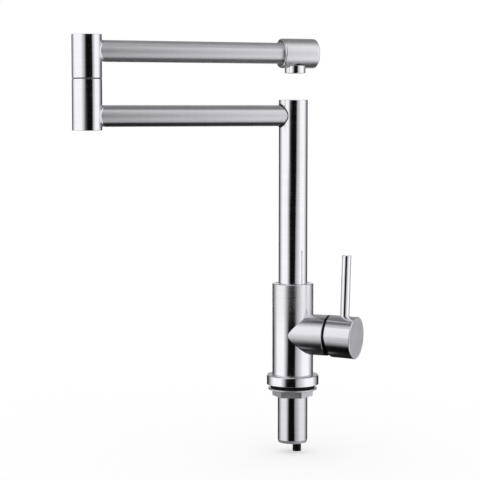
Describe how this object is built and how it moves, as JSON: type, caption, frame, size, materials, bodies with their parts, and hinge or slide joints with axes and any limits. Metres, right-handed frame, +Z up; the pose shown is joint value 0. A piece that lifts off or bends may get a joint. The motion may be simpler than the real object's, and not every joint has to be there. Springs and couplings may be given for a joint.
{
  "type": "folding kitchen tap",
  "caption": "Deck mounted folding kitchen tap: a tall swivelling riser, an arm that folds back over itself at an elbow, a down-turned outlet and a single side lever.",
  "frame": {"origin": "centre of the shank at the top of the deck, where the base gasket rests on it", "axes": "+Z up along the riser; +X along the valve barrel towards the handle; -Y towards the person at the sink"},
  "size_m": [0.2547, 0.2138, 0.4579],
  "materials": {
    "brushed_tube": "satin brushed",
    "brushed_body": "satin brushed",
    "clamp_steel": "turned, matte",
    "inner_steel": "turned",
    "cartridge_brass": "turned",
    "black_rubber": "matte",
    "black_plastic": "satin",
    "cartridge_plastic": "moulded",
    "disc_ceramic": "lapped",
    "aerator_plastic": "moulded"
  },
  "bodies": {
    "root": {"shank": "clamp_steel", "base_gasket": "black_rubber", "base_ring": "brushed_body", "valve_body": "brushed_body", "cold_inlet_tail": "black_plastic", "hot_inlet_tail": "black_plastic", "inlet_tail_seals": "black_rubber", "cartridge_base_seals": "black_rubber", "cartridge_base": "cartridge_plastic", "fixed_disc": "disc_ceramic", "cartridge_housing": "cartridge_plastic", "cartridge_nut": "cartridge_brass", "trim_ring": "black_plastic", "riser_thrust_washer": "cartridge_plastic", "riser_bush": "cartridge_plastic", "collar_ring": "brushed_body"},
    "deck_clamp": {"pad_washer": "black_rubber", "clamp_washer": "clamp_steel", "clamp_nut": "clamp_steel"},
    "turret": {"cartridge_turret": "cartridge_plastic", "lift_pin": "inner_steel"},
    "sliding_disc": {"moving_disc": "disc_ceramic", "disc_carrier": "cartridge_plastic"},
    "handle": {"spindle": "inner_steel", "handle_cap": "brushed_body", "lever": "brushed_body", "handle_grub_screw": "inner_steel", "grub_screw_plug": "brushed_body"},
    "riser": {"riser_tube": "brushed_tube", "riser_top_plug": "brushed_tube", "riser_spigot": "inner_steel", "riser_seals": "black_rubber", "lower_arm_tube": "brushed_tube", "lower_elbow_barrel": "brushed_body", "lower_elbow_plug": "brushed_body", "elbow_socket": "inner_steel", "elbow_slip_washer": "black_plastic"},
    "upper_arm": {"upper_elbow_barrel": "brushed_body", "upper_elbow_plug": "brushed_body", "elbow_pin": "inner_steel", "elbow_seals": "black_rubber", "elbow_circlip": "inner_steel", "upper_arm_tube": "brushed_tube", "outlet_head": "brushed_body", "outlet_nozzle": "brushed_body", "aerator_body": "aerator_plastic", "aerator_sieve": "inner_steel", "aerator_seal": "black_rubber"}
  },
  "joints": [
    {"name": "spout_swivel", "type": "hinge", "parent": "root", "child": "riser", "pos_m": [0, 0, 0.1], "axis": [0, 0, 1], "continuous": true},
    {"name": "elbow_swivel", "type": "hinge", "parent": "riser", "child": "upper_arm", "pos_m": [-0.16297, -0.16876, 0.337], "axis": [0, 0, 1], "continuous": true},
    {"name": "handle_turn", "type": "hinge", "parent": "root", "child": "turret", "pos_m": [0.033, 0, 0.0578], "axis": [1, 0, 0], "range_deg": [-45, 45]},
    {"name": "handle_lift", "type": "hinge", "parent": "turret", "child": "handle", "pos_m": [0.0329, 0, 0.0578], "axis": [0, 1, 0], "range_deg": [0, 23]},
    {"name": "disc_slide", "type": "slide", "parent": "turret", "child": "sliding_disc", "axis": [0, 0, 1], "range_m": [0, 0.00221]},
    {"name": "clamp_slide", "type": "slide", "parent": "root", "child": "deck_clamp", "axis": [0, 0, -1], "range_m": [0, 0.044]}
  ],
  "couplings": [
    {"joint": "disc_slide", "follows": "handle_lift", "m_per_rad": 0.0055128}
  ]
}
